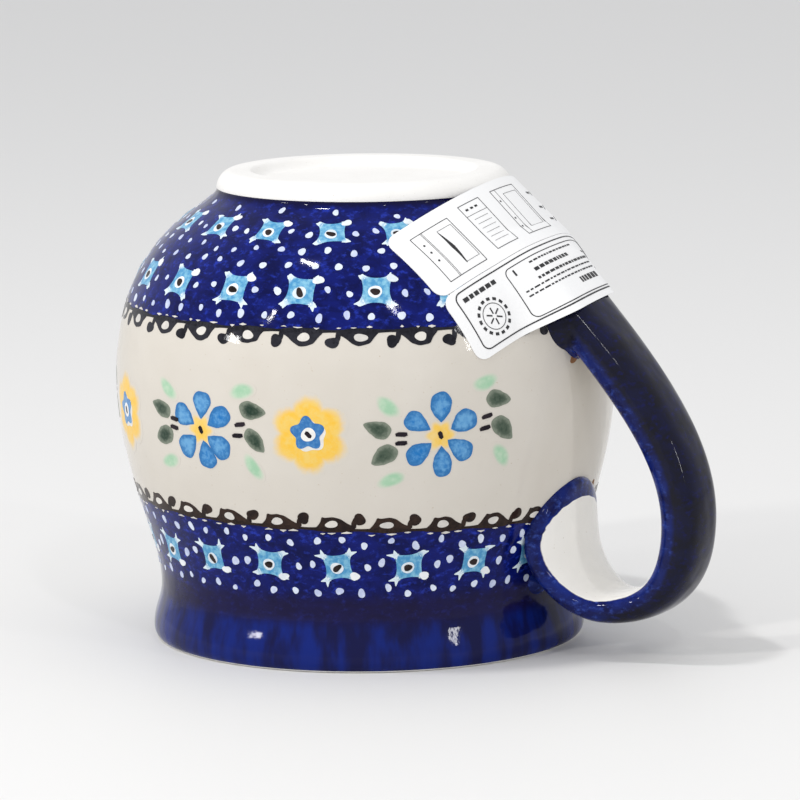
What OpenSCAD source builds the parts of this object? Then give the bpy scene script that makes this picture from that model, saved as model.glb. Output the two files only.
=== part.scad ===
// Folk-pottery stoneware mug with a round belly, a strap handle and two paper labels.
// It stands on its rim, as it is stored: +Z runs from the rim up through the foot ring,
// the origin is the centre of the rim, and the handle lies along +X.

/* [Overall size] */
// Height from the rim to the foot ring
mug_height = 94; // [88:1:100]
// Outside diameter of the belly, at its widest
belly_diameter = 100; // [97:1:104]
// Outside diameter of the lip
lip_diameter = 87; // [86:0.5:89]
// Outside diameter of the neck behind the lip
neck_diameter = 83.6; // [82:0.2:85]
// Outside diameter of the foot where the glaze stops
foot_diameter = 59; // [57:0.5:61]

/* [Wall] */
// Thickness of the wall at the belly, clay and glaze together
wall = 4.5; // [4:0.1:5]
// Thickness of the bottom between the cup floor and the foot recess
bottom_thickness = 6; // [5:0.5:6.5]
// Width of the flat land that the foot ring stands on
foot_land = 3.4; // [2.5:0.1:4]
// Depth of the recess inside the foot ring
foot_recess = 2; // [1:0.5:2.5]
// Thickness of the decorated outside glaze
outer_coat = 0.4; // [0.3:0.05:0.5]
// Thickness of the plain liner glaze
liner_coat = 0.35; // [0.3:0.05:0.5]

/* [Handle] */
// Distance from the mug's axis to the middle of the strap at its widest reach
handle_reach = 72.2; // [70:0.1:75]
// Height of that widest reach above the rim
handle_reach_z = 28.3; // [26:0.1:31]
// Thickest part of the strap
strap_thickness = 9; // [8:0.5:10]
// Narrowest width of the strap, halfway round the loop
strap_width = 14; // [12:0.5:16]
// Width of the strap where it flares onto the neck
strap_flare = 28; // [24:0.5:30]

/* [Labels] */
// Length of each paper label
label_length = 54; // [44:1:56]
// Width of the label nearer the foot
care_label_width = 16.5; // [12:0.5:17]
// Width of the label nearer the belly
grade_label_width = 14.5; // [10:0.5:16]
// Tilt of the seam between the labels from level
label_tilt = 30.5; // [26:0.5:36]
// Paper thickness, with its adhesive
paper = 0.25; // [0.2:0.05:0.4]

/* [Hidden] */
$fn = 240;

cobalt = [0.10, 0.11, 0.42];
cream = [0.90, 0.86, 0.78];
clay = [0.93, 0.91, 0.87];
paper_white = [0.96, 0.96, 0.95];

belly_r = belly_diameter / 2;
lip_r = lip_diameter / 2;
neck_r = neck_diameter / 2;
foot_r = foot_diameter / 2;

neck_z = 0.117 * mug_height;
belly_z = 0.565 * mug_height;
glaze_line_z = mug_height - 3.4;
recess_z = mug_height - foot_recess;
floor_z = recess_z - bottom_thickness;

// The lip's flat land runs between these radii.
lip_land_outer = lip_r - 1.6;
lip_land_inner = lip_r - 3.1;

// The foot ring's flat land runs between these radii.
land_outer = foot_r - 3.1;
land_inner = land_outer - foot_land;

// The coats fade out over this distance at their edges.
coat_fade = 2.5;

// Widths of the joints' clay and of the paper's drape over the strap.
root_clay_r = 6;
drape_flat = 6;
drape_reach = 19;

// ---- curves ----

function bezier(p, t) =
    pow(1 - t, 3) * p[0] + 3 * pow(1 - t, 2) * t * p[1]
    + 3 * (1 - t) * t * t * p[2] + pow(t, 3) * p[3];

// Points of one curve without its last one, so that runs join end to end.
function run(p, steps) = [for (i = [0 : steps - 1]) bezier(p, i / steps)];

function unit(v) = v / norm(v);

// Direction along a list of points at point i.
function heading(pts, i) =
    unit(pts[min(i + 1, len(pts) - 1)] - pts[max(i - 1, 0)]);

// Lengths along a list of points up to each of them.
function lengths(pts, i = 0, so_far = 0) =
    i == len(pts) - 1
        ? [so_far]
        : concat([so_far], lengths(pts, i + 1, so_far + norm(pts[i + 1] - pts[i])));

function smooth(t) = let (c = max(0, min(1, t))) c * c * (3 - 2 * c);

// ---- outlines of the turned body, as radius and height ----

// Outside, from the lip's land to the glaze line above the foot.
outer_line = concat(
    run([[lip_land_outer, 0], [lip_r - 0.5, 0], [lip_r, 0.9], [lip_r, 2.3]], 4),
    run([[lip_r, 2.3], [lip_r, 5.5], [neck_r, 7.5], [neck_r, neck_z]], 6),
    run([[neck_r, neck_z], [neck_r, neck_z + 10],
         [belly_r, belly_z - 20], [belly_r, belly_z]], 14),
    run([[belly_r, belly_z], [belly_r, belly_z + 30],
         [foot_r - 1, glaze_line_z - 3.6], [foot_r, glaze_line_z]], 18),
    [[foot_r, glaze_line_z]]
);

// Bare foot, from the glaze line over the ring's land and into the recess.
foot_line = concat(
    run([[foot_r, glaze_line_z], [foot_r - 0.1, glaze_line_z + 1.6],
         [land_outer + 1.7, mug_height], [land_outer, mug_height]], 5),
    [[land_outer, mug_height], [land_inner, mug_height]],
    run([[land_inner, mug_height], [land_inner - 1, mug_height],
         [land_inner - 1, recess_z], [land_inner - 2.6, recess_z]], 4),
    [[land_inner - 2.6, recess_z], [0, recess_z]]
);

// Inside, from the lip's land to the middle of the cup's floor.
inner_line = concat(
    run([[lip_land_inner, 0], [lip_land_inner - 0.7, 0],
         [lip_land_inner - 1.2, 1.2], [lip_land_inner - 1.5, 3]], 4),
    run([[lip_land_inner - 1.5, 3], [lip_land_inner - 1.9, 5.5],
         [neck_r - wall, neck_z - 3], [neck_r - wall, neck_z]], 4),
    run([[neck_r - wall, neck_z], [neck_r - wall, neck_z + 10],
         [belly_r - wall, belly_z - 20], [belly_r - wall, belly_z]], 12),
    run([[belly_r - wall, belly_z], [belly_r - wall, belly_z + 19],
         [foot_r + 6, floor_z], [foot_r - 8, floor_z]], 14),
    [[foot_r - 8, floor_z], [0, floor_z]]
);

// How thick a coat is at point i of a line: full, fading to nothing at an open edge.
function coat_at(at, i, full, both_ends) =
    let (
        from_start = smooth((at[i] - at[4]) / coat_fade),
        from_end = both_ends ? smooth((at[len(at) - 1] - at[i]) / coat_fade) : 1
    )
    full * from_start * from_end;

// The clay's surface under a coat. side is 1 outside and -1 inside.
function under_coat(line, full, side, both_ends) =
    let (at = lengths(line))
    [for (i = [0 : len(line) - 1])
        let (
            h = heading(line, i),
            depth = coat_at(at, i, full, both_ends),
            p = line[i] + side * depth * [-h.y, h.x]
        )
        [max(0, p.x), p.y]
    ];

clay_outer = under_coat(outer_line, outer_coat, 1, true);
clay_inner = under_coat(inner_line, liner_coat, -1, false);

function backwards(list) = [for (i = [len(list) - 1 : -1 : 0]) list[i]];

// First point of a line that lies under its coat.
coat_start = 5;
function tail(list, from) = [for (i = [from : len(list) - 1]) list[i]];
function inner_part(list, from) = [for (i = [from : len(list) - 2]) list[i]];

// Radius of the glazed outside at a height.
outer_table = [for (p = tail(outer_line, 1)) [p.y, p.x]];
function outer_radius(z) = lookup(z, outer_table);

// ---- strap handle, in the plane of +X and +Z ----

strap_root = [foot_r + 2, mug_height - 7.5];
strap_reach = [handle_reach, handle_reach_z];
strap_low = [belly_r + 6.5, 10.1];
strap_tip = [belly_r - 2.5, 35];
root_slope = 48;

strap_line = concat(
    run([strap_root, strap_root + 29 * [cos(root_slope), -sin(root_slope)],
         strap_reach + [0, 19], strap_reach], 24),
    run([strap_reach, strap_reach - [0, 12.5], strap_low + [9.4, 0], strap_low], 14),
    run([strap_low, strap_low - [4.6, 0], [belly_r - 7.8, 15.5], strap_tip], 30),
    [strap_tip]
);

// Share of the strap's length against its width, up to where its end rounds off.
end_start = 0.9;
width_table = [
    [0, strap_width + 3], [0.12, strap_width + 4.5], [0.3, strap_width + 2],
    [0.48, strap_width], [0.7, strap_width + 0.5], [0.79, strap_flare - 7],
    [0.87, strap_flare - 1], [end_start, strap_flare]
];
thickness_table = [
    [0, strap_thickness / 3], [0.12, strap_thickness - 0.5], [0.3, strap_thickness],
    [0.5, strap_thickness], [0.62, strap_thickness - 1], [0.7, strap_thickness - 2.5],
    [0.8, strap_thickness - 3.5], [0.9, strap_thickness - 3.5],
    [0.96, strap_thickness - 4], [1, strap_thickness / 3.6]
];
end_width = 2;
function strap_width_at(share) =
    share < end_start
        ? lookup(share, width_table)
        : max(end_width, strap_flare * sqrt(1 - pow((share - end_start) / (1 - end_start), 2)));

// The flare bends round the neck: how far it drops back at a distance across.
wrap_r = 44;
function drop_back(share, across) =
    smooth((share - 0.76) / 0.14) * across * across / (2 * wrap_r);

// Rounded rectangle as a superellipse: one point at angle a.
roundness = 2 / 2.8;
function soft(c) = sign(c) * pow(abs(c), roundness);

strap_sides = 24;
strap_at = lengths(strap_line);
strap_rings = [for (i = [0 : len(strap_line) - 1])
    let (
        h = heading(strap_line, i),
        share = strap_at[i] / strap_at[len(strap_at) - 1],
        half_w = strap_width_at(min(share, 1)) / 2,
        half_t = lookup(share, thickness_table) / 2
    )
    [for (k = [0 : strap_sides - 1])
        let (
            a = 360 * k / strap_sides,
            out = half_t * soft(sin(a)),
            across = half_w * soft(cos(a)),
            p = strap_line[i] + out * [-h.y, h.x]
        )
        [p.x - drop_back(share, across), across, p.y]
    ]
];

// Closed skin over a stack of rings that all have the same number of points.
module skin(rings) {
    sides = len(rings[0]);
    last = len(rings) - 1;
    polyhedron(
        points = [for (ring = rings) for (p = ring) p],
        faces = concat(
            [[for (k = [0 : sides - 1]) k]],
            [for (i = [0 : last - 1]) for (k = [0 : sides - 1])
                let (a = i * sides + k, b = i * sides + (k + 1) % sides)
                for (f = [[a, a + sides, b], [b, a + sides, b + sides]]) f],
            [[for (k = [sides - 1 : -1 : 0]) last * sides + k]]
        ),
        convexity = 8
    );
}

module strap() {
    skin(strap_rings);
}

// Everything inside the mug's outside surface.
module body_envelope() {
    rotate_extrude()
        polygon(concat([[0, 0]], outer_line, foot_line));
}

// ---- sub-parts ----

// Clay wall, bottom and foot ring.
module stoneware_body() {
    color(clay)
        rotate_extrude()
            polygon(concat(clay_outer, tail(foot_line, 1), backwards(clay_inner)));
}

// Decorated glaze, from just above the lip to the glaze line at the foot.
module outer_glaze() {
    color(cobalt)
        rotate_extrude()
            polygon(concat(
                tail(outer_line, coat_start - 1),
                backwards(inner_part(clay_outer, coat_start))
            ));
}

// Plain liner glaze over the wall and the floor of the cup.
module inner_glaze() {
    color(cream)
        rotate_extrude()
            polygon(concat(
                tail(inner_line, coat_start - 1),
                backwards(tail(clay_inner, coat_start))
            ));
}

// Pulled strap, luted on at the shoulder and at the neck.
module handle() {
    color(cobalt)
        difference() {
            strap();
            body_envelope();
        }
}

// Balls of clay along a joint, blended into one pad.
module clay_pad(depth, places) {
    hull()
        for (place = places)
            for (side = [-1, 1])
                translate([
                    outer_radius(place[1]) - depth, side * place[0], place[1]
                ])
                    sphere(root_clay_r, $fn = 24);
}

// Luting clay pressed under the strap at the shoulder.
module foot_root_clay() {
    color(cobalt)
        difference() {
            clay_pad(3.4, [[5.5, belly_z + 13], [3.5, belly_z + 10.5]]);
            body_envelope();
            strap();
        }
}

// Luting clay pressed under the strap at the neck.
module rim_root_clay() {
    color(cobalt)
        difference() {
            clay_pad(3.2, [[6.5, neck_z + 3.5], [4.5, neck_z + 1.5]]);
            body_envelope();
            strap();
        }
}

// ---- paper labels, laid on the shoulder as flat strips round a cone ----

label_start_angle = -41.7;
label_start_z = 73;
shoulder_taper = 0.62;

// The outside and the foot's edge, by length along them from the lip.
wrap_line = concat(outer_line, tail(foot_line, 1));
wrap_at = lengths(wrap_line);
wrap_steps = [0 : len(outer_line) + 3];
wrap_out = [for (i = wrap_steps) let (h = heading(wrap_line, i)) [h.y, -h.x]];
radius_by_length = [for (i = wrap_steps) [wrap_at[i], wrap_line[i].x]];
height_by_length = [for (i = wrap_steps) [wrap_at[i], wrap_line[i].y]];
out_r_by_length = [for (i = wrap_steps) [wrap_at[i], wrap_out[i].x]];
out_z_by_length = [for (i = wrap_steps) [wrap_at[i], wrap_out[i].y]];
length_by_height = [for (i = wrap_steps) if (i > 0) [wrap_line[i].y, wrap_at[i]]];
start_length = lookup(label_start_z, length_by_height);
cone_start = outer_radius(label_start_z) / shoulder_taper;

// Length along the outside below a point, and the point's distance off it.
function off_wrap(p) =
    let (
        gaps = [for (i = wrap_steps) norm(wrap_line[i] - p)],
        nearest = [for (i = wrap_steps) if (gaps[i] == min(gaps)) i][0],
        gap = p - wrap_line[nearest],
        out = wrap_out[nearest]
    )
    [wrap_at[nearest] + gap * [-out.y, out.x], max(0, gap * out)];

// How far the strap's outer face stands off the outside near its root.
root_rings = 17;
strap_face = [for (i = [root_rings - 1 : -1 : 0])
    let (p = strap_rings[i][strap_sides / 4]) off_wrap([p.x, p.z])
];
strap_top = strap_face[root_rings - 1];
proud_by_length = concat(strap_face, [[strap_top.x + 3, 0]]);

// How far paper stands off the glaze to pass over the strap's root.
function stand_off(along, side) =
    lookup(along, proud_by_length)
    * smooth((drape_reach - abs(side)) / (drape_reach - drape_flat));

// A point of a label: u along its seam, v across it towards the foot, at a lift.
function on_label(u, v, lift) =
    let (
        round_way = u * cos(label_tilt) - v * sin(label_tilt),
        foot_way = u * sin(label_tilt) + v * cos(label_tilt),
        flat = [round_way, cone_start - foot_way],
        turn = atan2(flat.x, flat.y) / shoulder_taper + label_start_angle,
        along = start_length + cone_start - norm(flat),
        r = lookup(along, radius_by_length),
        off = lift + (cos(turn) > 0 ? stand_off(along, r * sin(turn)) : 0),
        out_r = lookup(along, out_r_by_length),
        out_z = lookup(along, out_z_by_length)
    )
    [
        (r + off * out_r) * cos(turn),
        (r + off * out_r) * sin(turn),
        lookup(along, height_by_length) + off * out_z
    ];

// How far in from its edge a label with rounded corners starts and ends at v.
corner_r = 2.5;
function corner_inset(from_edge) =
    from_edge >= corner_r ? 0 : corner_r - sqrt(max(0, corner_r * corner_r
        - pow(corner_r - from_edge, 2)));

label_columns = 30;
function label_row(v, lift, inset) =
    [for (i = [0 : label_columns])
        on_label(inset + (label_length - 2 * inset) * i / label_columns, v, lift)];

// Two triangles for the four-sided patch a, b, c, d.
function patch(a, b, c, d) = [[a, b, c], [a, c, d]];

// Closed sheet between a face and an underside, each a list of rows of points.
module sheet(face, underside) {
    rows = len(face);
    columns = len(face[0]);
    under = rows * columns;
    polyhedron(
        points = concat(
            [for (row = face) for (p = row) p],
            [for (row = underside) for (p = row) p]
        ),
        faces = concat(
            [for (i = [0 : rows - 2]) for (j = [0 : columns - 2])
                let (a = i * columns + j, b = a + columns)
                for (f = concat(
                    patch(a, b, b + 1, a + 1),
                    patch(under + a + 1, under + b + 1, under + b, under + a)
                )) f],
            [for (j = [0 : columns - 2])
                let (a = j, b = (rows - 1) * columns + j)
                for (f = concat(
                    patch(a, a + 1, under + a + 1, under + a),
                    patch(b + 1, b, under + b, under + b + 1)
                )) f],
            [for (i = [0 : rows - 2])
                let (a = i * columns, b = a + columns - 1)
                for (f = concat(
                    patch(a + columns, a, under + a, under + a + columns),
                    patch(b, b + columns, under + b + columns, under + b)
                )) f]
        ),
        convexity = 8
    );
}

// Paper between two lines across the label, its rows closer together at the corners.
module label(v_low, v_high) {
    width = v_high - v_low;
    rows = [0, 0.3, 0.9, 1.8, 2.6];
    across = concat(rows, [for (i = [1 : 4]) 2.6 + (width - 5.2) * i / 5],
                    backwards([for (d = rows) width - d]));
    insets = [for (d = across) corner_inset(min(d, width - d))];
    steps = [0 : len(across) - 1];
    sheet(
        [for (i = steps) label_row(v_low + across[i], paper + 0.02, insets[i])],
        [for (i = steps) label_row(v_low + across[i], 0.02, insets[i])]
    );
}

// Label nearer the foot.
module care_label() {
    color(paper_white)
        label(0.1, care_label_width);
}

// Label nearer the belly.
module grade_label() {
    color(paper_white)
        label(-grade_label_width, -0.1);
}

stoneware_body();
outer_glaze();
inner_glaze();
handle();
foot_root_clay();
rim_root_clay();
care_label();
grade_label();
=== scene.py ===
"""Looks of the folk-pottery mug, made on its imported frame.

The making functions count in millimetres and degrees; MM turns millimetres into metres.
Turn is the angle round the mug's axis from the handle, and along is the distance along
the outside of the wall from the lip, so a motif is laid out flat and then wrapped.
"""

import math
import random

import bpy
import numpy as np
from mathutils import Matrix, Vector


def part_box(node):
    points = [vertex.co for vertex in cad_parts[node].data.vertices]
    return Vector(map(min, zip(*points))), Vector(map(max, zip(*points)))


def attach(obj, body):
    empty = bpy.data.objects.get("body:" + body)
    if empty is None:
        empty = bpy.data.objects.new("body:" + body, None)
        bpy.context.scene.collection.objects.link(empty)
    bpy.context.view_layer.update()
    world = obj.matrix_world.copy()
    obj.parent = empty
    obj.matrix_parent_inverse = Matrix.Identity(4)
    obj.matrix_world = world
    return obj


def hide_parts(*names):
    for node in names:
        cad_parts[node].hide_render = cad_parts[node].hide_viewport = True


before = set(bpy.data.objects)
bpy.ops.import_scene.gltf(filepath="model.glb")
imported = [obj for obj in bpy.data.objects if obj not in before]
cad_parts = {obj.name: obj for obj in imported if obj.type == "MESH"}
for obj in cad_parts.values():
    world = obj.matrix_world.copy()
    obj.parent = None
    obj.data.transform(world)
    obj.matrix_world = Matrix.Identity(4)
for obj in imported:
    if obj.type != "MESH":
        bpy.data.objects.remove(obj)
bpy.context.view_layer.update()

MM = 0.001

# ---- sizes read off the frame ----


def size_of(node, axis):
    """Side of a CAD node's box in millimetres."""
    low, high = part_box(node)
    return (high[axis] - low[axis]) / MM


MUG_HEIGHT = size_of("stoneware_body", 2)
BELLY_R = size_of("outer_glaze", 1) / 2
LIP_R = 0.87 * BELLY_R
NECK_R = 0.836 * BELLY_R
FOOT_R = 0.59 * BELLY_R
WALL = 0.09 * BELLY_R
NECK_Z = 0.117 * MUG_HEIGHT
BELLY_Z = 0.565 * MUG_HEIGHT
GLAZE_LINE_Z = MUG_HEIGHT - 3.4
RECESS_Z = MUG_HEIGHT - 2
FLOOR_Z = RECESS_Z - 6
LIP_LAND_OUTER = LIP_R - 1.6
LIP_LAND_INNER = LIP_R - 3.1
FOOT_LAND_OUTER = FOOT_R - 3.1
FOOT_LAND_INNER = FOOT_LAND_OUTER - 3.4
OUTER_COAT = 0.4
LINER_COAT = 0.35

# Heights where the decoration changes. The lower edge sways round the mug, and it is at
# its highest at LOWER_SWAY_TURN.
UPPER_BORDER_Z = 67.9
LOWER_BORDER_Z = 28.85
LOWER_SWAY = 1.1
LOWER_SWAY_TURN = -150.0

SKIN_STEPS = 288
CREASE = math.radians(40)
# Each layer of paint stands this much above the one below, and reaches under the glaze.
PAINT_STEP = 0.03
PAINT_DEPTH = 0.08

hand = random.Random(1811)


# ---- curves ----


def curve(start, *spans):
    """A line from a start through cubic spans: steps, two handles and an end each."""
    parts = []
    for steps, leave, arrive, end in spans:
        p = np.array([start, leave, arrive, end], float)
        t = (np.arange(steps) / steps)[:, None]
        parts.append((1 - t) ** 3 * p[0] + 3 * (1 - t) ** 2 * t * p[1]
                     + 3 * (1 - t) * t * t * p[2] + t ** 3 * p[3])
        start = end
    return np.vstack([*parts, [start]])


def lengths(points):
    """Distance along a line of points up to each of them."""
    return np.concatenate([[0], np.cumsum(np.linalg.norm(np.diff(points, axis=0), axis=1))])


def left_normals(points):
    """Unit vectors to the left of a line of flat points."""
    way = np.gradient(points, axis=0)
    way /= np.linalg.norm(way, axis=1, keepdims=True)
    return np.stack([-way[:, 1], way[:, 0]], axis=1)


def smooth(t):
    """0 below 0, 1 above 1 and an S-shaped rise between."""
    t = np.clip(t, 0, 1)
    return t * t * (3 - 2 * t)


# Radius and height, from the lip's land to the glaze line.
OUTSIDE = curve(
    (LIP_LAND_OUTER, 0),
    (10, (LIP_R - 0.5, 0), (LIP_R, 0.9), (LIP_R, 2.3)),
    (16, (LIP_R, 5.5), (NECK_R, 7.5), (NECK_R, NECK_Z)),
    (50, (NECK_R, NECK_Z + 10), (BELLY_R, BELLY_Z - 20), (BELLY_R, BELLY_Z)),
    (64, (BELLY_R, BELLY_Z + 30), (FOOT_R - 1, GLAZE_LINE_Z - 3.6), (FOOT_R, GLAZE_LINE_Z)),
)
# From the glaze line over the foot's land to the middle of the recess.
FOOT = curve(
    (FOOT_R, GLAZE_LINE_Z),
    (14, (FOOT_R - 0.1, GLAZE_LINE_Z + 1.6), (FOOT_LAND_OUTER + 1.7, MUG_HEIGHT),
     (FOOT_LAND_OUTER, MUG_HEIGHT)),
    (6, (FOOT_LAND_OUTER - 1, MUG_HEIGHT), (FOOT_LAND_INNER + 1, MUG_HEIGHT),
     (FOOT_LAND_INNER, MUG_HEIGHT)),
    (12, (FOOT_LAND_INNER - 1, MUG_HEIGHT), (FOOT_LAND_INNER - 1, RECESS_Z),
     (FOOT_LAND_INNER - 2.6, RECESS_Z)),
    (12, (14, RECESS_Z), (7, RECESS_Z), (0, RECESS_Z)),
)
# From the lip's land to the middle of the cup's floor.
INSIDE = curve(
    (LIP_LAND_INNER, 0),
    (8, (LIP_LAND_INNER - 0.7, 0), (LIP_LAND_INNER - 1.2, 1.2), (LIP_LAND_INNER - 1.5, 3)),
    (10, (LIP_LAND_INNER - 1.9, 5.5), (NECK_R - WALL, NECK_Z - 3), (NECK_R - WALL, NECK_Z)),
    (40, (NECK_R - WALL, NECK_Z + 10), (BELLY_R - WALL, BELLY_Z - 20),
     (BELLY_R - WALL, BELLY_Z)),
    (40, (BELLY_R - WALL, BELLY_Z + 19), (FOOT_R + 6, FLOOR_Z), (FOOT_R - 8, FLOOR_Z)),
    (12, (14, FLOOR_Z), (7, FLOOR_Z), (0, FLOOR_Z)),
)
OUTSIDE_AT = lengths(OUTSIDE)
INSIDE_AT = lengths(INSIDE)
# The labels also climb the bare foot's edge a little.
WRAP = np.vstack([OUTSIDE, FOOT[1:10]])
WRAP_AT = lengths(WRAP)
WRAP_OUT = -left_normals(WRAP)


def along_at(z):
    """Distance along the outside from the lip to a height."""
    return float(np.interp(z, OUTSIDE[:, 1], OUTSIDE_AT))


def radius_at(z):
    """Radius of the outside at a height."""
    return float(np.interp(z, OUTSIDE[:, 1], OUTSIDE[:, 0]))


def lower_edge_z(turn):
    """Height of the lower cobalt band's upper edge."""
    return LOWER_BORDER_Z + LOWER_SWAY * math.cos(math.radians(turn - LOWER_SWAY_TURN))


def unevenness(turn, z):
    """How far the wall stands off a true circle, as thrown pottery does."""
    a = np.radians(turn)
    fade = smooth(z / 10) * smooth((MUG_HEIGHT - z) / 20)
    return fade * (0.10 * np.sin(2 * a + 0.7) + 0.05 * np.sin(3 * a + z / 15))


def around(turn, radius, z):
    """Points at a turn, a radius and a height."""
    a = np.radians(turn)
    x, y = radius * np.cos(a), radius * np.sin(a)
    return np.stack([x, y, np.broadcast_to(z, x.shape)], axis=-1)


def off_line(line, outward, turn, along, lift):
    """Points lifted off a turned line, at distances measured along the outside."""
    r, out_r = (np.interp(along, WRAP_AT, side[:, 0]) for side in (line, outward))
    z, out_z = (np.interp(along, WRAP_AT, side[:, 1]) for side in (line, outward))
    return around(turn, r + unevenness(turn, z) + lift * out_r, z + lift * out_z)


# ---- strap handle, in the plane of +X and +Z ----

STRAP_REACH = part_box("handle")[1][0] / MM - 4.3
STRAP_REACH_Z = 28.3
STRAP_LOW_X = BELLY_R + 6.5
STRAP_LOW_Z = 10.1
STRAP_STEP = 0.4
ROOT_SLOPE = math.radians(48)


def evenly_spaced(points, step):
    """The same line with its points a step apart."""
    at = lengths(points)
    fine = np.linspace(0, at[-1], int(at[-1] / step) + 1)
    return np.stack([np.interp(fine, at, points[:, k]) for k in range(2)], axis=1)


def strap_line():
    """Middle of the strap from the shoulder to the neck, as X and Z."""
    root = np.array([FOOT_R + 2, MUG_HEIGHT - 7.5])
    leave = root + 29 * np.array([math.cos(ROOT_SLOPE), -math.sin(ROOT_SLOPE)])
    return evenly_spaced(curve(
        root,
        (120, leave, (STRAP_REACH, 47.3), (STRAP_REACH, STRAP_REACH_Z)),
        (60, (STRAP_REACH, 15.8), (STRAP_LOW_X + 9.4, STRAP_LOW_Z), (STRAP_LOW_X, STRAP_LOW_Z)),
        (80, (STRAP_LOW_X - 4.6, STRAP_LOW_Z), (BELLY_R - 7.8, 15.5), (BELLY_R - 2.5, 35)),
    ), STRAP_STEP)


# Share of the strap's length, its width and its thickness there.
STRAP_SIZES = [
    (0.00, 17.0, 3.0), (0.12, 18.5, 8.5), (0.30, 16.0, 9.0), (0.48, 14.0, 9.0),
    (0.62, 14.3, 8.0), (0.70, 14.5, 6.5), (0.79, 21.0, 5.5), (0.87, 27.0, 5.5),
    (0.90, 28.0, 5.5), (0.96, 28.0, 5.0), (1.00, 28.0, 2.5),
]
# The strap's outline rounds off to its tip from the first share on, and its cream inner
# face starts and ends at the others.
TIP_START = 0.9
CREAM_START = 0.25
CREAM_END = 0.972
# Radius of the flare's bend round the neck.
FLARE_BEND = 44
ROUNDNESS = 2 / 2.8


def eased(column):
    """A column of STRAP_SIZES along the strap, with its corners smoothed away."""
    knots, values = [row[0] for row in STRAP_SIZES], [row[column] for row in STRAP_SIZES]
    fine = np.linspace(-0.1, 1.1, 241)
    window = np.hanning(13)
    level = np.convolve(np.interp(fine, knots, values), window / window.sum(), mode="same")
    return np.interp(STRAP_SHARE, fine, level)


def tip_rounding(end):
    """Share of the full width left where the outline closes at an end share."""
    gone = np.clip((STRAP_SHARE - TIP_START) / (end - TIP_START), 0, 1)
    return np.sqrt(1 - gone ** 2)


STRAP = strap_line()
STRAP_LENGTH = lengths(STRAP)[-1]
STRAP_SHARE = lengths(STRAP) / STRAP_LENGTH
STRAP_OUT = left_normals(STRAP)
STRAP_HALF_W = np.maximum(eased(1) / 2 * tip_rounding(1.0), 1.0)
STRAP_HALF_T = eased(2) / 2
STRAP_FACE = STRAP + STRAP_OUT * STRAP_HALF_T[:, None]
CREAM_HALF_W = (eased(1) / 2 - 1.6) * tip_rounding(CREAM_END)
CREAM_HALF_W[STRAP_SHARE > CREAM_END] = -1


def drop_back(share, across):
    """How far the flare bends back round the neck at a distance across."""
    return smooth((share - 0.76) / 0.14) * across ** 2 / (2 * FLARE_BEND)


# ---- meshes ----


def grid(rows, columns, ring=False, close=False):
    """Faces over rows of points. ring joins each row's ends, close the last row to the first."""
    faces = []
    for i in range(rows if close else rows - 1):
        here, there = i * columns, (i + 1) % rows * columns
        for k in range(columns if ring else columns - 1):
            j = (k + 1) % columns
            faces.append((here + k, there + k, there + j, here + j))
    return faces


def shifted(faces, start):
    """Faces whose points are numbered from a start."""
    return [tuple(start + k for k in face) for face in faces]


def turned_over(faces):
    """The same four-sided faces, looking the other way."""
    return [(a, d, c, b) for a, b, c, d in faces]


def tube(rings, sides):
    """Faces of a closed tube: its two ends and its wall."""
    ends = [tuple(range(sides))[::-1], tuple(range((rings - 1) * sides, rings * sides))]
    return ends + turned_over(grid(rings, sides, ring=True))


def keep_numbers(mesh, name, numbers):
    """Keeps a number on each point of a mesh, for its material to read."""
    kept = mesh.attributes.new(name, "FLOAT", "POINT")
    kept.data.foreach_set("value", np.asarray(numbers, np.float32))


def add_mesh(name, points, faces, material, sharp=True):
    """A smooth mesh piece, with its edges kept sharp or not."""
    mesh = bpy.data.meshes.new(name)
    mesh.from_pydata((np.asarray(points) * MM).tolist(), [], faces)
    mesh.update()
    mesh.shade_smooth()
    if sharp:
        mesh.set_sharp_from_angle(angle=CREASE)
    mesh.materials.append(material)
    piece = bpy.data.objects.new(name, mesh)
    bpy.context.collection.objects.link(piece)
    return piece


def belongs(piece, slot, *nodes):
    """Ties a finished piece to the mug's one body."""
    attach(piece, "root")
    if nodes:
        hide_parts(*nodes)


def apply_modifiers(piece):
    """Replaces a piece's mesh with what its modifiers make of it."""
    graph = bpy.context.evaluated_depsgraph_get()
    made = bpy.data.meshes.new_from_object(piece.evaluated_get(graph))
    old = piece.data
    piece.modifiers.clear()
    piece.data = made
    made.name = piece.name
    made.shade_smooth()
    bpy.data.meshes.remove(old)


def turned_solid(name, line, material):
    """A closed outline of radius and height as a smooth turned solid."""
    turns = (np.arange(SKIN_STEPS) * 360 / SKIN_STEPS)[:, None]
    r, z = line[None, :, 0], line[None, :, 1]
    points = around(turns, r + unevenness(turns, z) * (r > 1), z).reshape(-1, 3)
    faces = grid(SKIN_STEPS, len(line), ring=True, close=True)
    piece = add_mesh(name, points, faces, material, sharp=False)
    merge = piece.modifiers.new("merge_axis", "WELD")
    merge.merge_threshold = 0.01 * MM
    apply_modifiers(piece)
    piece.data.set_sharp_from_angle(angle=CREASE)
    return piece


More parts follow.
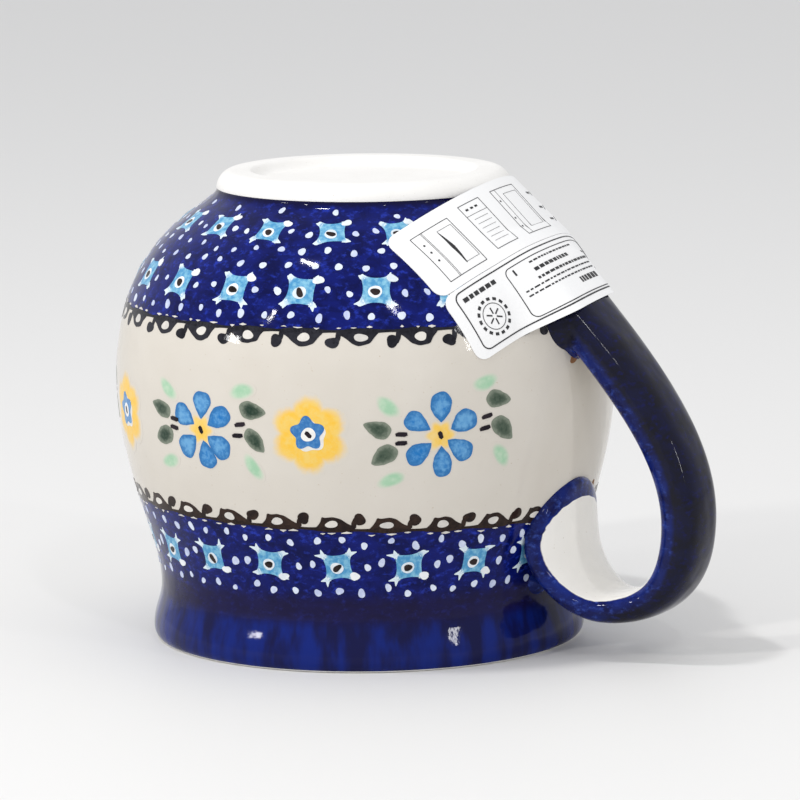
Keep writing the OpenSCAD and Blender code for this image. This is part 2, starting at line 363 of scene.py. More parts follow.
class Paint:
    """Brushwork in one colour: small closed patches, wrapped onto a surface."""

    def __init__(self, name, material, layer, slot="painted_glaze"):
        self.name = name
        self.material = material
        self.lift = layer * PAINT_STEP
        self.slot = slot
        self.points = []
        self.faces = []
        self.numbers = {"tone": [], "shade": [], "reach": []}
        self.count = 0

    def keep(self, points, faces, tone, reach):
        """Adds a patch. Its shade is one random number, for the stroke's own colour."""
        self.points.append(points)
        self.faces += shifted(faces, self.count)
        shade = np.full(len(points), hand.random())
        for name, numbers in (("tone", tone), ("shade", shade), ("reach", reach)):
            self.numbers[name].append(numbers)
        self.count += len(points)

    def blob(self, place, outline, rings=2):
        """A patch inside a closed outline. Tone falls from 1 in the middle to 0 at the edge."""
        outline = np.asarray(outline, float)
        ahead = np.roll(outline, -1, axis=0)
        if (outline[:, 0] * ahead[:, 1] - ahead[:, 0] * outline[:, 1]).sum() < 0:
            outline = outline[::-1]
        n = len(outline)
        middle = np.zeros((1, 2))
        shares = np.arange(1, rings + 1) / rings
        flat = np.vstack([middle] + [outline * share for share in shares])
        under = np.vstack([outline, middle])
        skirt = 1 + rings * n
        faces = shifted(grid(rings + 1, n, ring=True), 1)
        for k in range(n):
            j = (k + 1) % n
            faces += [(0, 1 + k, 1 + j), (skirt + k, skirt + n, skirt + j)]
        tone = np.concatenate([[1.0], np.repeat(1 - shares, n), np.zeros(n + 1)])
        reach = np.linalg.norm(np.vstack([flat, under]), axis=1)
        points = np.vstack([place(flat, self.lift), place(under, -PAINT_DEPTH)])
        self.keep(points, faces, tone, reach)

    def stroke(self, place, path, widths, reach=0.0):
        """A brush line along flat points, with its full width at each of them."""
        path = np.asarray(path, float)
        side = left_normals(path) * (np.asarray(widths, float) / 2)[:, None]
        top = [place(path + side * share, self.lift) for share in (1, 0, -1)]
        under = [place(path + side * share, -PAINT_DEPTH) for share in (-1, 1)]
        n = len(path)
        points = np.stack(top + under, axis=1).reshape(-1, 3)
        self.keep(points, tube(n, 5), np.tile([0, 1, 0, 0, 0], n), np.full(5 * n, reach))

    def finish(self):
        """Makes the piece from its patches."""
        piece = add_mesh(self.name, np.vstack(self.points), self.faces, self.material)
        for name, numbers in self.numbers.items():
            keep_numbers(piece.data, name, np.concatenate(numbers))
        belongs(piece, self.slot)


# ---- outlines of the brushwork, in millimetres ----


def ring_angles(sides):
    """Angles of points set evenly round a ring."""
    return np.arange(sides) * 2 * math.pi / sides


def flat_points(x, y):
    return np.stack([x, y], axis=1)


def spun(points, degrees):
    """Flat points turned about their middle."""
    c, s = math.cos(math.radians(degrees)), math.sin(math.radians(degrees))
    return points @ np.array([(c, s), (-s, c)])


def rounded(points):
    """A closed outline with its corners cut round."""
    p = np.asarray(points, float)
    for _ in range(2):
        q = np.roll(p, -1, axis=0)
        p = np.stack([0.75 * p + 0.25 * q, 0.25 * p + 0.75 * q], axis=1).reshape(-1, 2)
    return p


def oval(half_w, half_h, lump=0.07, sides=14):
    """A hand-dabbed oval."""
    a = ring_angles(sides)
    phase, second = hand.uniform(0, 6.3), hand.uniform(0, 6.3)
    r = 1 + lump * np.sin(2 * a + phase) + 0.6 * lump * np.sin(3 * a + second)
    return flat_points(half_w * r * np.cos(a), half_h * r * np.sin(a))


def waved(points, depth):
    """An outline made a little uneven, as if painted by hand."""
    a = np.arctan2(points[:, 1], points[:, 0])
    wave = 1 + depth * (np.sin(3 * a + hand.uniform(0, 6.3))
                        + 0.6 * np.sin(7 * a + hand.uniform(0, 6.3)))
    return points * wave[:, None]


def petal(length, width):
    """A drop with its point at the inner end, towards -across."""
    a = ring_angles(34)
    narrow = ((1 + np.cos(a)) / 2) ** 0.45
    return waved(flat_points(length / 2 * np.cos(a), width * 0.62 * np.sin(a) * narrow), 0.035)


def leaf(length, width):
    """A leaf with a blunt inner end and a pointed tip, towards +across."""
    a = ring_angles(34)
    narrow = 0.3 + 0.7 * ((1 - np.cos(a)) / 2) ** 0.5
    return waved(flat_points(length / 2 * np.cos(a), width * 0.6 * np.sin(a) * narrow), 0.04)


def star(size):
    """A stamped square with hollow sides and drawn-out, uneven corners."""
    corner = size * np.array([(2.50, 0.0), (2.60, 1.2), (2.90, 2.1), (3.40, 2.75),
                              (2.85, 3.2), (2.1, 2.85), (1.2, 2.60)])
    tip = smooth(np.linalg.norm(corner, axis=1) / size - 2.7)
    points = []
    for quarter in range(4):
        drawn = 1 + (hand.uniform(0.88, 1.08) - 1) * tip
        points.append(spun(corner * drawn[:, None], 90 * quarter))
    return rounded(np.vstack(points))


def lobes(radius, depth, count, start, bulge=2.0, sides=72):
    """A flower outline, its first lobe at a start angle; a low bulge makes full round lobes."""
    a = ring_angles(sides)
    wave = 2 * np.abs(np.cos(count * (a - math.radians(start)) / 2)) ** bulge - 1
    uneven = 1 + 0.03 * np.sin(a + hand.uniform(0, 6.3))
    r = radius * (1 + depth * wave) * uneven
    return flat_points(r * np.cos(a), r * np.sin(a))


def glaze_spot(turn, z, tilt=0.0, shift=(0.0, 0.0)):
    """Wraps flat offsets round a place on the glaze: across to the right, up to the foot."""
    along, r = along_at(z), radius_at(z)

    def place(flat, lift):
        across, up = spun(flat + np.array(shift), tilt).T
        return off_line(WRAP, WRAP_OUT, turn + np.degrees(across / r), along + up, lift)
    return place


def evenly(first, count):
    """Turns of motifs set evenly round the mug."""
    return [first + 360 * k / count for k in range(count)]


# ---- materials ----


class Finish:
    """A material in the making: its node tree and its shader."""

    def __init__(self, name):
        self.material = bpy.data.materials.new(name)
        self.material.use_nodes = True
        self.tree = self.material.node_tree
        self.shader = self.tree.nodes["Principled BSDF"]

    def feed(self, node, inputs):
        """Gives a node its inputs, which are numbers, colours or other nodes' sockets."""
        for key, value in inputs.items():
            socket = node.inputs[key]
            if isinstance(value, bpy.types.NodeSocket):
                self.tree.links.new(value, socket)
            elif socket.type == "RGBA":
                socket.default_value = (*value, 1)
            else:
                socket.default_value = value

    def node(self, kind, inputs, **settings):
        """Outputs of a new shader node."""
        made = self.tree.nodes.new("ShaderNode" + kind)
        for key, value in settings.items():
            setattr(made, key, value)
        self.feed(made, inputs)
        return made.outputs

    def math(self, operation, a, b):
        return self.node("Math", {0: a, 1: b}, operation=operation)[0]

    def add(self, a, b):
        return self.math("ADD", a, b)

    def times(self, a, b):
        return self.math("MULTIPLY", a, b)

    def jitter(self, noise, amount):
        """Noise spread round zero."""
        return self.times(self.add(noise, -0.5), amount)

    def between(self, value, low, high):
        """0 below low, 1 above high and a smooth step between them."""
        inputs = {"Value": value, "From Min": low, "From Max": high}
        return self.node("MapRange", inputs, interpolation_type="SMOOTHSTEP")["Result"]

    def spread(self, value, low, high):
        """0 to 1 stretched to low to high."""
        return self.node("MapRange", {"Value": value, "To Min": low, "To Max": high})["Result"]

    def mixed(self, factor, a, b):
        """Colour between a and b."""
        return self.node("Mix", {0: factor, 6: a, 7: b}, data_type="RGBA")[2]

    def stepped(self, value, low, high, a, b):
        """Colour a below low, b above high and a smooth step between them."""
        return self.mixed(self.between(value, low, high), a, b)

    def places(self, stretch=(1, 1, 1)):
        """Coordinates fixed to the mug, squeezed along each axis."""
        point = self.node("TexCoord", {})["Object"]
        return self.node("Mapping", {"Vector": point, "Scale": stretch})["Vector"]

    def height_and_reach(self):
        """Height above the rim and distance along the handle's way."""
        place = self.node("SeparateXYZ", {"Vector": self.places()})
        return place["Z"], place["X"]

    def noise(self, size_mm, detail=3.0, roughness=0.55, distortion=0.0, stretch=(1, 1, 1)):
        """Noise from 0 to 1 with features of about a size."""
        return self.node("TexNoise", {
            "Vector": self.places(stretch), "Scale": 1 / (size_mm * MM), "Detail": detail,
            "Roughness": roughness, "Distortion": distortion,
        })["Fac"]

    def value_of(self, name):
        """A number kept on the mesh."""
        return self.node("Attribute", {}, attribute_name=name)["Fac"]

    def bump(self, height, strength, depth_mm, below=None):
        """Relief from a height, on top of the relief below it."""
        inputs = {"Height": height, "Strength": strength, "Distance": depth_mm * MM}
        if below is not None:
            inputs["Normal"] = below
        return self.node("Bump", inputs)["Normal"]

    def glazed(self, colour, waves=0.35):
        """Clear glossy glaze over a colour: gentle waves, pinholes and uneven shine."""
        wave = self.bump(self.noise(7.0, 1.5), waves, 0.6)
        self.feed(self.shader, {
            "Base Color": colour, "Roughness": self.spread(self.noise(4.0), 0.03, 0.09),
            "Normal": self.bump(self.noise(0.7, 2.0), 0.08, 0.1, wave),
            "IOR": 1.5, "Specular IOR Level": 0.13,
        })
        return self.material

    def matt(self, colour, rough, normal=None):
        """A dull surface, with or without relief."""
        self.feed(self.shader, {"Base Color": colour, "Roughness": rough})
        if normal is not None:
            self.feed(self.shader, {"Normal": normal})
        return self.material


def cobalt(m, deep=(0.001, 0.003, 0.055), blue=(0.003, 0.008, 0.130),
           fleck=(0.016, 0.038, 0.400)):
    """Sponged cobalt: bright and dark blues that pool and thin."""
    pools = m.noise(5.0, 4.0, 0.62, 0.6, (1, 1, 1.5))
    dabs = m.noise(1.6, 4.0, 0.65, 0.0, (1, 1, 1.5))
    return m.stepped(dabs, 0.50, 0.78, m.stepped(pools, 0.32, 0.66, deep, blue), fleck)


def cream(m, low=(0.607, 0.566, 0.502), high=(0.667, 0.630, 0.572)):
    """Warm cream glaze with faint clouds and tiny specks."""
    clouds = m.mixed(m.noise(14.0, 2.0), low, high)
    return m.stepped(m.noise(0.45, 1.0), 0.74, 0.82, clouds, (0.50, 0.42, 0.32))


def painted_glaze():
    """Body coat: cobalt above and below a cream belt, with painted shade at the neck and painted
    reflection streaks at the lip.
    """
    m = Finish("painted_glaze")
    z = m.height_and_reach()[0]
    edge = m.add(z, m.jitter(m.noise(2.0), 1.2 * MM))
    slope = LOWER_SWAY / radius_at(LOWER_BORDER_Z)
    way = math.radians(LOWER_SWAY_TURN)
    sway = m.node("VectorMath", {
        0: m.places(), 1: (slope * math.cos(way), slope * math.sin(way), 0),
    }, operation="DOT_PRODUCT")["Value"]
    level = m.math("SUBTRACT", edge, sway)
    above = m.between(edge, (UPPER_BORDER_Z - 0.2) * MM, (UPPER_BORDER_Z + 0.2) * MM)
    below = m.between(level, (LOWER_BORDER_Z + 0.2) * MM, (LOWER_BORDER_Z - 0.2) * MM)
    # Painted shade: the neck, where the wall turns down under the belly, is darkened.
    neck = m.times(m.between(edge, 17 * MM, 13 * MM), 0.8)
    blue = m.mixed(neck, cobalt(m), (0.009, 0.006, 0.034))
    # Painted reflection: brighter blue vertical streaks on the lip.
    streaks = m.noise(4.0, stretch=(1, 1, 0.2))
    reflection_streaks = m.stepped(streaks, 0.36, 0.66, (0.006, 0.007, 0.052), (0.005, 0.016, 0.160))
    blue = m.stepped(edge, 11 * MM, 8 * MM, blue, reflection_streaks)
    blue = m.stepped(edge, (GLAZE_LINE_Z - 1.6) * MM, (GLAZE_LINE_Z - 0.4) * MM,
                     blue, (0.004, 0.004, 0.040))
    return m.glazed(m.mixed(m.math("MAXIMUM", above, below), cream(m), blue))


def strap_glaze():
    """Strap coat: dark cobalt, partly painted shade, that turns brighter towards the cream inner
    face, where the glaze is thin and painted light falls, and at the tip, where painted light
    falls too.
    """
    m = Finish("strap_glaze")
    inner = m.value_of("inner_face")
    # The dark copy is a deeper cobalt with painted shade of the outer face; the bright copy is
    # thin glaze with painted light on the near side.
    thick_and_shaded = cobalt(m, (0.008, 0.008, 0.014), (0.008, 0.009, 0.030), (0.008, 0.010, 0.080))
    thin = cobalt(m, (0.004, 0.006, 0.070), (0.008, 0.022, 0.190), (0.040, 0.085, 0.400))
    z, x = m.height_and_reach()
    # Painted light: the tip is made brighter where it faces the lamps.
    tip = m.times(m.between(x, 62 * MM, 54 * MM), m.between(z, 48 * MM, 40 * MM))
    thin_and_lit = m.math("MAXIMUM", m.between(inner, -2.8, -0.4), m.times(tip, 0.75))
    blue = m.mixed(thin_and_lit, thick_and_shaded, thin)
    # Painted light: this cream is paler than the body's, to lift the shade the inner face sits in.
    inside = cream(m, (0.82, 0.80, 0.76), (0.87, 0.855, 0.82))
    edge = m.add(inner, m.jitter(m.noise(1.6), 0.3))
    return m.glazed(m.stepped(edge, -0.15, 0.15, blue, inside), waves=0.6)


def brush_colour(name, deep, light, blot=1.2, rim=None):
    """Glazed brushwork that varies from stroke to stroke and blots within each one."""
    m = Finish(name)
    blots = m.noise(blot, roughness=0.6)
    mood = m.add(m.times(blots, 1.3), m.times(m.value_of("shade"), 0.5))
    colour = m.stepped(mood, 0.45, 1.25, deep, light)
    if rim is not None:
        inward = m.add(m.value_of("tone"), m.jitter(blots, 0.9))
        colour = m.stepped(inward, 0.0, 0.6, rim, colour)
    return m.glazed(colour)


def soft_colour(name, deep, light, full=0.55):
    """Sponged colour that fades into the cream at its edge."""
    m = Finish(name)
    blots = m.noise(1.5, roughness=0.6)
    colour = m.stepped(blots, 0.35, 0.7, deep, light)
    tone = m.add(m.value_of("tone"), m.jitter(blots, 0.25))
    return m.glazed(m.stepped(tone, 0.02, full, cream(m), colour))


def star_glaze():
    """Star stamp: light blue in the middle, white at its points."""
    m = Finish("star_glaze")
    blots = m.noise(1.1, roughness=0.6)
    blue = m.stepped(blots, 0.35, 0.7, (0.07, 0.28, 0.52), (0.24, 0.52, 0.68))
    reach = m.add(m.value_of("reach"), m.jitter(blots, 1.4))
    return m.glazed(m.stepped(reach, 2.6, 4.3, blue, (0.70, 0.80, 0.86)))


def bare_clay():
    """Fired white stoneware: off-white, faintly mottled, with fine pits."""
    m = Finish("bare_clay")
    clouds, pits = m.noise(9.0), m.noise(0.35, 2.0)
    clay = m.mixed(clouds, (0.80, 0.785, 0.755), (0.87, 0.86, 0.84))
    colour = m.stepped(pits, 0.70, 0.80, clay, (0.50, 0.43, 0.35))
    return m.matt(colour, m.spread(clouds, 0.45, 0.65), m.bump(pits, 0.35, 0.1))


def liner_glaze():
    """Plain cream glaze of the cup's inside."""
    m = Finish("liner_glaze")
    return m.glazed(cream(m))


def sticker_paper():
    """Smooth white sticker paper with a faint fibre and soft handling marks."""
    m = Finish("sticker_paper")
    fibre = m.noise(0.3, 4.0, 0.7)
    colour = m.mixed(m.noise(11.0, 2.0), (0.84, 0.84, 0.84), (0.90, 0.90, 0.90))
    return m.matt(colour, m.spread(fibre, 0.42, 0.62), m.bump(fibre, 0.2, 0.03))


def label_ink():
    """Slightly uneven black printing ink."""
    m = Finish("label_ink")
    return m.matt(m.stepped(m.noise(0.4), 0.55, 0.80, (0.012, 0.012, 0.014), (0.10, 0.10, 0.11)),
                  0.5)


def iron_slip():
    """Bare rust-brown clay where the glaze missed the joint."""
    m = Finish("iron_slip")
    spots = m.noise(0.8)
    colour = m.mixed(spots, (0.16, 0.06, 0.02), (0.40, 0.20, 0.09))
    return m.matt(colour, 0.7, m.bump(spots, 0.4, 0.1))


# ---- the pot ----


def fade_in(at):
    """How fully a coat has its thickness at a distance from its open edge."""
    return smooth((at - 1.2) / 2.5)


def make_body():
    """Bare clay: the wall between the coats, the lip's land and the foot."""
    full = fade_in(OUTSIDE_AT) * smooth((OUTSIDE_AT[-1] - OUTSIDE_AT) / 2.5)
    outer = OUTSIDE + left_normals(OUTSIDE) * (OUTER_COAT * full)[:, None]
    inner = INSIDE - left_normals(INSIDE) * (LINER_COAT * fade_in(INSIDE_AT))[:, None]
    inner[-1, 0] = 0
    line = np.vstack([outer, FOOT[1:], inner[::-1]])
    piece = turned_solid("bare_stoneware_body", line, bare_clay())
    belongs(piece, "bare_stoneware", "stoneware_body")


def make_coat(name, line, side, depth, material, slot, node):
    """A coat of glaze over a line, as a closed skin that starts 1 mm from the line's land."""
    kept = lengths(line) > 1.0
    back = line[kept] + side * left_normals(line[kept]) * depth[kept][:, None]
    if side < 0:
        back[-1, 0] = 0
    outline = np.vstack([line[kept], back[::-1]])[::side]
    belongs(turned_solid(name, outline, material), slot, node)


def make_coats():
    """The decorated coat outside and the plain coat inside the cup."""
    full = smooth((OUTSIDE_AT - 1.0) / 2.5) * smooth((OUTSIDE_AT[-1] - OUTSIDE_AT) / 2.5)
    make_coat("painted_glaze_coat", OUTSIDE, 1, 0.06 + 0.34 * full, painted_glaze(),
              "painted_glaze", "outer_glaze")
    full = smooth((INSIDE_AT - 1.0) / 2.5)
    make_coat("liner_glaze_coat", INSIDE, -1, 0.05 + 0.3 * full, liner_glaze(),
              "liner_glaze", "inner_glaze")


def strap_mesh():
    """Swept strap as one closed tube of rounded sections."""
    sides = 40
    a = ring_angles(sides)
    out = np.sign(np.sin(a)) * np.abs(np.sin(a)) ** ROUNDNESS
    across = np.sign(np.cos(a)) * np.abs(np.cos(a)) ** ROUNDNESS
    rings = []
    for i in [*range(0, len(STRAP) - 1, 2), len(STRAP) - 1]:
        flat = STRAP[i] + (STRAP_HALF_T[i] * out)[:, None] * STRAP_OUT[i]
        y = STRAP_HALF_W[i] * across
        rings.append(np.stack([flat[:, 0] - drop_back(STRAP_SHARE[i], y), y, flat[:, 1]], axis=1))
    return np.vstack(rings), tube(len(rings), sides)


def ball(centre, radii):
    """Points and faces of a ball of clay pressed to three radii."""
    sides, rows = 20, 9
    a = ring_angles(sides)
    points = [[(0, 0, 1.0)]]
    for i in range(1, rows + 1):
        tip = math.pi * i / (rows + 1)
        points.append(around(np.degrees(a), np.full(sides, math.sin(tip)), math.cos(tip)))
    points.append([(0, 0, -1.0)])
    last = 1 + rows * sides
    faces = shifted(grid(rows, sides, ring=True), 1)
    for k in range(sides):
        j = (k + 1) % sides
        faces += [(0, 1 + k, 1 + j), (last, last - sides + j, last - sides + k)]
    return np.vstack(points) * radii + centre, faces


def inner_face_margin(points):
    """How far inside the painted edge of the strap's inner face each point lies."""
    margin = np.empty(len(points))
    for start in range(0, len(points), 4000):
        part = points[start:start + 4000]
        flat = part[:, [0, 2]]
        for _ in range(2):
            apart = flat[:, None, :] - STRAP[None, :, :]
            near = np.argmin((apart ** 2).sum(-1), axis=1)
            flat = part[:, [0, 2]]
            flat[:, 0] += drop_back(STRAP_SHARE[near], part[:, 1])
        out = ((flat - STRAP[near]) * STRAP_OUT[near]).sum(-1)
        inward = -out - 0.30 * STRAP_HALF_T[near]
        from_root = (STRAP_SHARE[near] - CREAM_START) * STRAP_LENGTH
        margin[start:start + 4000] = np.minimum.reduce([
            CREAM_HALF_W[near] - np.abs(part[:, 1]), inward * 1.5, from_root,
        ])
    return margin


# Balls of luting clay under the strap: height, depth under the glaze, distance to each
# side, and the three radii.
CLAY_PADS = [
    (65.5, 3.0, 5.0, (5.6, 6.4, 6.0)), (62.8, 2.4, 2.0, (4.6, 6.0, 5.2)),
    (15.0, 4.2, 4.5, (5.6, 5.4, 4.4)),
]


def make_handle():
    """Strap and its luting clay, melted together into one glazed form."""
    points, faces = strap_mesh()
    for z, depth, apart, radii in CLAY_PADS:
        for side in (-1, 1):
            more, more_faces = ball((radius_at(z) - depth, side * apart, z), radii)
            faces += shifted(more_faces, len(points))
            points = np.vstack([points, more])
    piece = add_mesh("glazed_strap_handle", points, faces, strap_glaze(), sharp=False)
    melt = piece.modifiers.new("melt", "REMESH")
    melt.mode = "VOXEL"
    melt.voxel_size = 0.5 * MM
    melt.use_smooth_shade = True
    soften = piece.modifiers.new("soften", "SMOOTH")
    soften.factor = 0.5
    soften.iterations = 8
    apply_modifiers(piece)
    places = np.empty(len(piece.data.vertices) * 3)
    piece.data.vertices.foreach_get("co", places)
    keep_numbers(piece.data, "inner_face", inner_face_margin(places.reshape(-1, 3) / MM))
    belongs(piece, "handle_glaze", "handle", "foot_root_clay", "rim_root_clay")


# ---- decoration ----

UPPER_STARS = evenly(-70.3, 17)
SHOULDER_STARS = evenly(-76.0, 19)
NECK_STARS = evenly(-67.9, 20)
BORDER_COUNT = 27
# Blue and yellow flowers alternate from one side of the handle round to the other.
FLOWER_TURNS = [-43.5, -73.1, -100.3, -132.0, -161.0, -190.5, -219.0, -248.5, -277.0, -306.5]
# How far each blue flower's leaves lean, in degrees, and how widely they spread.
FLOWER_LEANS = [10, 3, 6, -5, 9]
FLOWER_SPREADS = [1.14, 1.08, 1.0, 1.05, 0.95]
FLOWER_Z = 47.6


def paint_stars():
    """Stamped stars, each with white corners, a white eye and a black pupil."""
    blue = Paint("blue_stars", star_glaze(), 1)
    white = Paint("star_eyes", brush_colour("eye_white", (0.62, 0.70, 0.76),
                                            (0.84, 0.86, 0.88)), 3)
    black = Paint("star_pupils", brush_colour("pupil_black", (0.008, 0.006, 0.006),
                                              (0.03, 0.02, 0.02)), 4)
    rows = [(UPPER_STARS, 85.2, 0.95, 1, 3.7), (SHOULDER_STARS, 75.2, 1.02, 1, 3.7),
            (NECK_STARS, 21.3, 0.96, -1, 4.2)]
    for turn, z, size, up, point in [(turn, *row) for turns, *row in rows for turn in turns]:
        turn += hand.uniform(-0.35, 0.35)
        z += hand.uniform(-0.2, 0.2)
        tilt = hand.uniform(-7, 7)
        place = glaze_spot(turn, z, tilt)
        blue.blob(place, star(size), rings=5)
        for right, rise in ((1, 1), (-1, 1), (-1, -1), (1, -1)):
            corner = (right * size, rise * size)
            far = point + hand.uniform(-0.3, 0.4)
            ray = np.array([(2.2, 2.35), (3.0, 2.7), (far, 2.95)])
            blue.stroke(place, ray * corner, [1.3, 0.9, 0.15], reach=4.2)
            if hand.random() < 0.6:
                far = point + hand.uniform(-0.4, 0.2)
                ray = np.array([(2.35, 2.2), (2.75, 3.1), (2.9, far)])
                blue.stroke(place, ray * corner, [1.2, 0.8, 0.15], reach=4.2)
        white.blob(glaze_spot(turn, z, tilt, (3.1 * size, up * 2.5 * size)),
                   oval(1.1 * size, 0.8 * size, 0.14, sides=18))
        white.blob(glaze_spot(turn - 0.3, z - 0.3), oval(1.3 * size, 1.28 * size, 0.05, sides=22))
        pupil = glaze_spot(turn - 0.25, z - 0.3, hand.uniform(-60, 60))
        black.blob(pupil, oval(1.0 * size, 0.66 * size, 0.12))
    for paint in (blue, white, black):
        paint.finish()


def dab(paint, turn, z, big=1.0):
    """One white dot, a little off its place."""
    turn += hand.uniform(-0.8, 0.8)
    z += hand.uniform(-0.45, 0.45)
    wide = big * hand.uniform(0.50, 0.72)
    tall = wide * hand.uniform(1.0, 1.35)
    paint.blob(glaze_spot(turn, z, hand.uniform(-30, 30)), oval(wide, tall, 0.11))


def paint_dots():
    """White dots between and around the rows of stars."""
    paint = Paint("white_dots", brush_colour("dot_white", (0.47, 0.53, 0.75),
                                             (0.70, 0.76, 0.88)), 2)

    def row(turns, *dots):
        """Dots at each turn: how far past it, at which height and how big."""
        for turn in turns:
            for past, z, big in dots:
                dab(paint, turn + past, z, big)

    def zigzag(turns, z_of, drop, big):
        """A row of dots with every other one lower."""
        for k, turn in enumerate(turns):
            dab(paint, turn, z_of(turn) - drop * (k % 2), big)

    row(UPPER_STARS, (0.5, 88.3, 0.9), (8.0, 85.1, 1), (13.4, 85.2, 1))
    row(evenly(-63.0, 49), (0, 81.9, 1))
    row(evenly(-59.6, 50), (0, 79.6, 1))
    row(SHOULDER_STARS, (6.7, 75.1, 1.05), (12.6, 75.1, 1.05))
    zigzag(evenly(-64.6, 56), lambda turn: 70.7, 0.5, 1.1)
    zigzag(evenly(-66.9, 59), lambda turn: lower_edge_z(turn) - 2.2, 1.0, 1.1)
    row(NECK_STARS, (7.4, 20.9, 1.1), (11.6, 22.0, 1.1))
    zigzag(evenly(-67.4, 60), lambda turn: 16.5, 0.6, 1.05)
    paint.finish()


# Outline of one border stamp as it stands on its band, and its knob's neck.
STAMP_MIDDLE = np.array([0.3, 1.2])
STAMP_NECK = np.array([(3.7, 0.1), (4.35, 0.6), (4.45, 1.3), (4.8, 2.0), (5.3, 2.3)])


def stamp_outline(spur):
    """The stamp's almond, with a spur of a height on its shoulder."""
    return np.array([
        (-3.6, 0.2), (-2.6, 1.1), (-2.1, 2.0), (-1.8, spur), (-1.1, 2.5), (0.0, 2.8),
        (1.2, 2.6), (2.3, 1.9), (3.3, 1.1), (4.4, 0.6), (4.4, -0.4), (0.0, -0.4), (-3.6, -0.4),
    ]) - STAMP_MIDDLE


def border_row(black, light, first, edge_z, up, tall, spur):
    """One scroll stamp repeated, standing on (up = 1) or hanging from (up = -1) a band."""
    over = 0 if up > 0 else 180
    for turn in evenly(first, BORDER_COUNT):
        turn += hand.uniform(-0.4, 0.4)
        z = edge_z(turn)
        lean = over + hand.uniform(-2, 2)
        stretch = (hand.uniform(0.95, 1.04), tall * hand.uniform(0.94, 1.06))
        black.blob(glaze_spot(turn, z, lean, STAMP_MIDDLE * stretch),
                   waved(rounded(stamp_outline(spur) * stretch), 0.025), rings=4)
        light.blob(glaze_spot(turn, z, lean, (0.0, 1.15 * tall)),
                   oval(1.25, 0.74 * tall, 0.10, sides=18))
        black.stroke(glaze_spot(turn, z, lean), STAMP_NECK * stretch, [1.0, 1.1, 1.0, 1.0, 1.0])
        black.blob(glaze_spot(turn, z, lean, (5.45, 2.0 * tall)),
                   oval(1.25, 1.15, 0.12, sides=18))
        for along in (-2.4, 0.6, 3.4):
            half = hand.uniform(0.3, 1.1)
            wisp = np.array([(-half, 0.0), (0.0, hand.uniform(-0.2, 0.2)), (half, 0.0)])
            shift = (along + hand.uniform(-0.9, 0.9), hand.uniform(-0.85, -0.6))
            light.stroke(glaze_spot(turn, z, lean, shift), wisp,
                         [0.08, hand.uniform(0.2, 0.6), 0.08])
    past = np.linspace(0, 360, 361)
    start_z = edge_z(first)
    rise = np.array([edge_z(first + turn) - start_z for turn in past])
    line = flat_points(np.radians(past) * radius_at(start_z), rise)
    black.stroke(glaze_spot(first, start_z), line,
                 0.85 + 0.35 * np.cos(np.radians(past) * BORDER_COUNT))


def paint_borders():
    """Dark scrolls where the cobalt bands meet the cream belt."""
    light = Paint("scroll_eyes", brush_colour("scroll_cream", (0.58, 0.56, 0.53),
                                              (0.72, 0.69, 0.64)), 3)
    upper = Paint("upper_scrolls", brush_colour("border_black", (0.009, 0.009, 0.013),
                                                (0.026, 0.026, 0.034)), 2)
    lower = Paint("lower_scrolls", brush_colour("border_brown", (0.012, 0.007, 0.007),
                                                (0.036, 0.020, 0.014)), 2)
    border_row(upper, light, -74.4, lambda turn: UPPER_BORDER_Z, -1, 1.08, 2.3)
    border_row(lower, light, -68.6, lower_edge_z, 1, 0.98, 2.8)
    for paint in (upper, lower, light):
        paint.finish()


